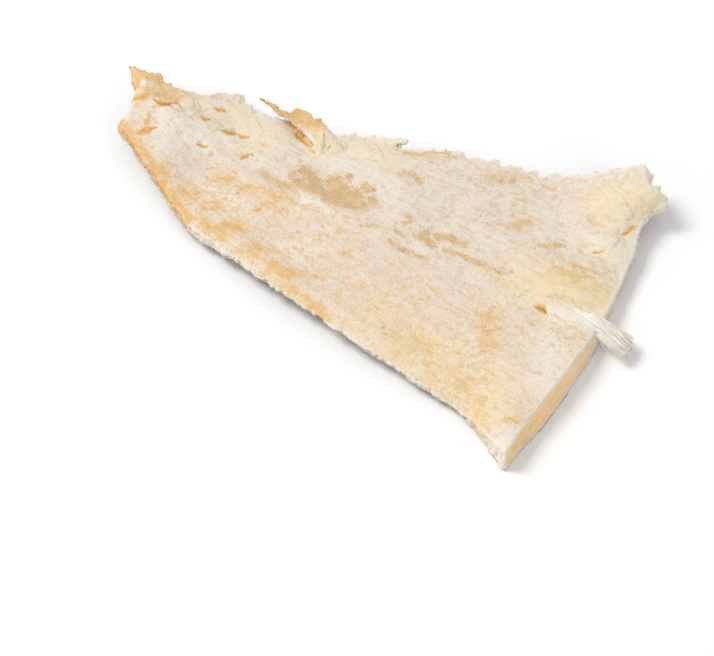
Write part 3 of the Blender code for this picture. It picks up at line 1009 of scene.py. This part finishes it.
def flesh_paint():
    paint = Paint("salt_frosted_flesh")
    place = paint.place()
    fine = paint.cloud(place, 0.6, 2.0)
    middle = paint.cloud(place, 3.0, 5.0, 0.62)
    broad = paint.cloud(place, 16.0, 2.0)
    thread = paint.cloud(paint.scaled(paint.grain(), (0.12, 1.0, 0.6)), 1.0, 3.0)
    back_half = paint.ease(paint.split(paint.grain())[1] + 40 * broad, 34, 52)
    hollow = paint.mask("hollow")
    peak = paint.ease(hollow, -0.3, -1.6) * (1 - paint.ease(paint.mask("amber"), 0.1, 0.6))
    busy = paint.ease(paint.cloud(place, 10.0, 3.0), -0.08, 0.14)
    gritty = (1.8 * fine + paint.cloud(place, 1.3, 2.0)) * (1 - 0.65 * back_half * (1 - busy))
    tone = (2.0 - 0.4 * back_half) * middle + gritty + 0.8 * thread + 0.5 * broad + 0.5 * peak + 0.62
    tone = tone + 0.06 * back_half
    tone = tone - 0.55 * paint.mask("amber") + 0.4 * paint.mask("white") + 0.3 * paint.mask("cream")
    cover = paint.ease(tone, -0.1, 1.0)
    frost = paint.blend(paint.ease(broad + 0.5 * middle, -0.12, 0.12), FROST_PALE, FROST_PINK)
    frost = paint.blend(0.7 * back_half, frost, FROST_COOL)
    frost = paint.blend(0.8 * paint.mask("cream"), frost, CREAM_TINT)
    frost = paint.blend(0.8 * paint.mask("amber"), frost, PEACH_TINT)
    frost = paint.blend(0.65 * paint.mask("white"), frost, WHITE_TINT)
    flesh_tint = paint.blend(back_half, FLESH_TINT, TAN_TINT)
    flesh_tint = paint.blend(0.8 * paint.mask("cream"), flesh_tint, STREAK_TINT)
    flesh_tint = paint.blend(paint.mask("amber"), flesh_tint, AMBER_TINT)
    base = paint.blend(cover, flesh_tint, frost)
    bare = paint.ease(1.15 * paint.mask("bare") + 1.7 * middle + 2.2 * fine + 0.6 * thread, 0.4, 0.82)
    specks = paint.ease(paint.cloud(place, 0.5, 1.0), 0.04, 0.14)
    bare_flesh = paint.blend(paint.ease(middle + 0.6 * fine, -0.2, 0.25), BARE_LIGHT, BARE_DARK)
    bare_flesh = paint.blend(0.35 * specks, bare_flesh, FROST_PINK)
    base = paint.blend(0.92 * bare, base, bare_flesh)
    # Painted shade: the hollows of the relief are tinted a darker amber.
    base = paint.blend(0.5 * paint.ease(hollow + 2.0 * fine, 0.3, 1.3), base, NOOK_PAINTED_SHADE)
    streak = paint.cloud(paint.scaled(paint.grain(), (0.05, 0.75, 0.3)), 1.0, 3.0)
    base = paint.blend(paint.mask("streaky") * paint.ease(streak + 0.5 * fine, -0.02, 0.2), base, STREAK_TINT)
    layers = paint.cloud(paint.scaled(place, (0.12, 0.12, 0.8)), 1.0, 3.0)
    wall_flesh = paint.blend(paint.mask("knifed"), FRONT_TINT, WALL_TINT)
    wall_flesh = paint.blend(paint.ease(layers + broad + 0.5 * middle, -0.05, 0.35), wall_flesh, AMBER_TINT)
    pale = paint.ease(paint.cloud(place, 5.0, 3.0), 0.0, 0.18)
    wall_flesh = paint.blend(0.4 * pale * paint.mask("knifed"), wall_flesh, CREAM_TINT)
    base = paint.blend(paint.mask("wall") * (0.8 + 1.5 * middle + fine - 1.4 * layers), base, wall_flesh)
    base = paint.blend(0.8 * peak, base, FROST_PALE)
    dots = paint.node("ShaderNodeTexVoronoi", {}, {"Vector": place, "Scale": 0.3})
    base = paint.blend(paint.ease(dots + 0.5 * fine, 0.2, 0.05) * 0.4, base, DOT_TINT)
    crumbs = paint.ease(paint.cloud(place, 0.45, 1.0) + 0.5 * middle, 0.14, 0.26)
    base = paint.blend(0.6 * back_half * busy * crumbs, base, CRUMB_TINT)
    # Gaps are painted orange, partly bare flesh and partly painted shade, with a darker painted shade where they are
    # deepest.
    gap = paint.mask("gap_flesh_and_shade") + 1.1 * fine
    base = paint.blend(0.9 * paint.ease(gap, 0.15, 0.95), base, GAP_FLESH_AND_SHADE)
    base = paint.blend(0.8 * paint.ease(gap, 1.05, 1.45), base, GAP_PAINTED_SHADE)
    rough = 0.55 + 0.3 * cover
    calm = 1 - 0.5 * paint.mask("knifed") - 0.5 * paint.ease(paint.mask("amber"), 0.2, 0.9)
    bumps = [
        (thread * calm, 0.25, 0.25),
        ((cover + fine * (1 - 0.6 * bare) - 0.6 * bare) * calm, 0.3, 0.36),
    ]
    return paint.finish(base, rough, bumps, Specular_IOR_Level=0.25)


flesh.data.materials.clear()
flesh.data.materials.append(flesh_paint())
print(len(flesh.data.materials[0].node_tree.nodes), "nodes in the flesh's material")

# %% [markdown]
# The fibres take the same masks, read from where each one lies. They are too thin for a real bump,
# which would turn their shading inside out, so they get plain colours.
# %% The fibres' material
FIBRE_TINT = colour(240, 230, 212)


def fibre_paint():
    paint = Paint("dry_fibre")
    patchy = paint.cloud(paint.place(), 2.0, 2.0)
    base = paint.blend(paint.ease(patchy, -0.1, 0.25) * 0.3, FIBRE_TINT, FLESH_TINT)
    base = paint.blend(0.8 * paint.mask("amber"), base, AMBER_TINT)
    base = paint.blend(paint.mask("white"), base, TUFT_TINT)
    bump = [(patchy, 0.02, 0.2)]
    return paint.finish(base, 0.7 + 0.2 * patchy, bump, Specular_IOR_Level=0.2)


store_tints(fibre_piece.data, points_of(fibre_piece.data))
fibre_piece.data.materials.append(fibre_paint())

# %% [markdown]
# Cod skin dries to a grey-brown leather with darker blotches and the marks of small scales. Salt
# fills its wrinkles and crusts its edge.
# %% The skin's material
SKIN_BROWN = colour(138, 122, 98)
SKIN_DARK = colour(84, 72, 58)
SKIN_SALT = colour(226, 218, 204)


def skin_paint():
    paint = Paint("dried_skin")
    place = paint.place()
    fine = paint.cloud(place, 0.8, 2.0)
    middle = paint.cloud(place, 5.0, 4.0, 0.6)
    broad = paint.cloud(place, 17.0, 2.0)
    scales = paint.node("ShaderNodeTexVoronoi", {}, {"Vector": paint.scaled(place, (0.55, 0.8, 0.6)), "Scale": 1.0})
    salt = paint.ease(0.9 * middle + 0.6 * fine + 0.25 * broad, -0.08, 0.22)
    base = paint.blend(paint.ease(broad + 0.4 * middle, -0.08, 0.1), SKIN_DARK, SKIN_BROWN)
    base = paint.blend(paint.ease(scales, 0.35, 0.75) * 0.5, base, SKIN_DARK)
    base = paint.blend(0.85 * salt, base, SKIN_SALT)
    base = paint.blend(paint.mask("rim") * 0.95, base, FROST_PALE)
    bumps = [(scales, 0.25, 0.5), (salt + 0.5 * fine, 0.3, 0.6)]
    return paint.finish(base, 0.55 + 0.35 * salt, bumps, Specular_IOR_Level=0.35)


skin.data.materials.clear()
skin.data.materials.append(skin_paint())


# %% The salt's material
def salt_paint():
    paint = Paint("cloudy_salt")
    cloudy = paint.cloud(paint.place(), 0.5, 2.0)
    base = paint.blend(0.5 + cloudy, colour(246, 236, 224), colour(238, 222, 204))
    return paint.finish(base, 0.5 + 0.3 * cloudy, [(cloudy, 0.1, 0.4)], Specular_IOR_Level=0.4)


grain_piece.data.materials.append(salt_paint())

# %% [markdown]
# The stage is a plain white sheet under soft light: a bright even surround, and one wide lamp from
# behind on the left that models the relief and drops a faint shadow to the front and right.
# %% Floor, light and surround
bm = bmesh.new()
bmesh.ops.create_grid(bm, x_segments=1, y_segments=1, size=3.0)
floor_mesh = bpy.data.meshes.new("floor")
bm.to_mesh(floor_mesh)
bm.free()
floor = bpy.data.objects.new("floor", floor_mesh)
bpy.context.scene.collection.objects.link(floor)
sheet = bpy.data.materials.new("white_sheet")
sheet.use_nodes = True
sheet.node_tree.nodes["Principled BSDF"].inputs["Base Color"].default_value = (0.95, 0.95, 0.95, 1)
sheet.node_tree.nodes["Principled BSDF"].inputs["Roughness"].default_value = 0.9
floor_mesh.materials.append(sheet)

surround = bpy.data.worlds.new("surround")
bpy.context.scene.world = surround
surround.use_nodes = True
surround.node_tree.nodes["Background"].inputs["Color"].default_value = (1, 1, 1, 1)
surround.node_tree.nodes["Background"].inputs["Strength"].default_value = 0.59


def lamp(name, azimuth, elevation, distance, size, power):
    """A square lamp that looks at the piece from that side."""
    light = bpy.data.lights.new(name, "AREA")
    light.size = size
    light.energy = power
    made = bpy.data.objects.new(name, light)
    bpy.context.scene.collection.objects.link(made)
    turn, tilt = math.radians(azimuth), math.radians(elevation)
    back = Vector((math.sin(turn) * math.cos(tilt), -math.cos(turn) * math.cos(tilt), math.sin(tilt)))
    made.location = back * distance
    made.rotation_euler = (-back).to_track_quat("-Z", "Y").to_euler()
    return made


lamp("key", -75, 50, 3.0, 1.2, 54.0)
lamp("fill", 65, 25, 3.0, 1.5, 12.0)
bpy.context.scene.view_settings.view_transform = "Standard"

# %% [markdown]
# The camera looks down at the flesh side from the front right, from far enough away that the piece
# keeps its proportions.
# %% Camera
AZIMUTH = 33.0
ELEVATION = 50.0
DISTANCE = 660.0
AIM = (23.7, -40.6, 0.0)

camera_data = bpy.data.cameras.new("camera")
camera_data.lens = 100.0
camera_data.sensor_width = 36.0
camera = bpy.data.objects.new("camera", camera_data)
bpy.context.scene.collection.objects.link(camera)
turn, tilt = math.radians(AZIMUTH), math.radians(ELEVATION)
back = Vector((math.sin(turn) * math.cos(tilt), -math.cos(turn) * math.cos(tilt), math.sin(tilt)))
camera.location = (Vector(AIM) + back * DISTANCE) * MM
camera.rotation_euler = (-back).to_track_quat("-Z", "Y").to_euler()
bpy.context.scene.camera = camera

# %% [markdown]
# Last, every piece is tied to the root body, the plain solid is hidden, and the flesh and the skin are
# shaded smooth.
# %% Tie the pieces to the solid
for made, slot in (
    (flesh, "salted_flesh"),
    (skin, "salted_skin"),
    (fibre_piece, "dry_fibres"),
    (grain_piece, "salt_grains"),
):
    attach(made, "root")
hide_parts(SOLID)
for made in (flesh, skin):
    made.data.polygons.foreach_set("use_smooth", [True] * len(made.data.polygons))
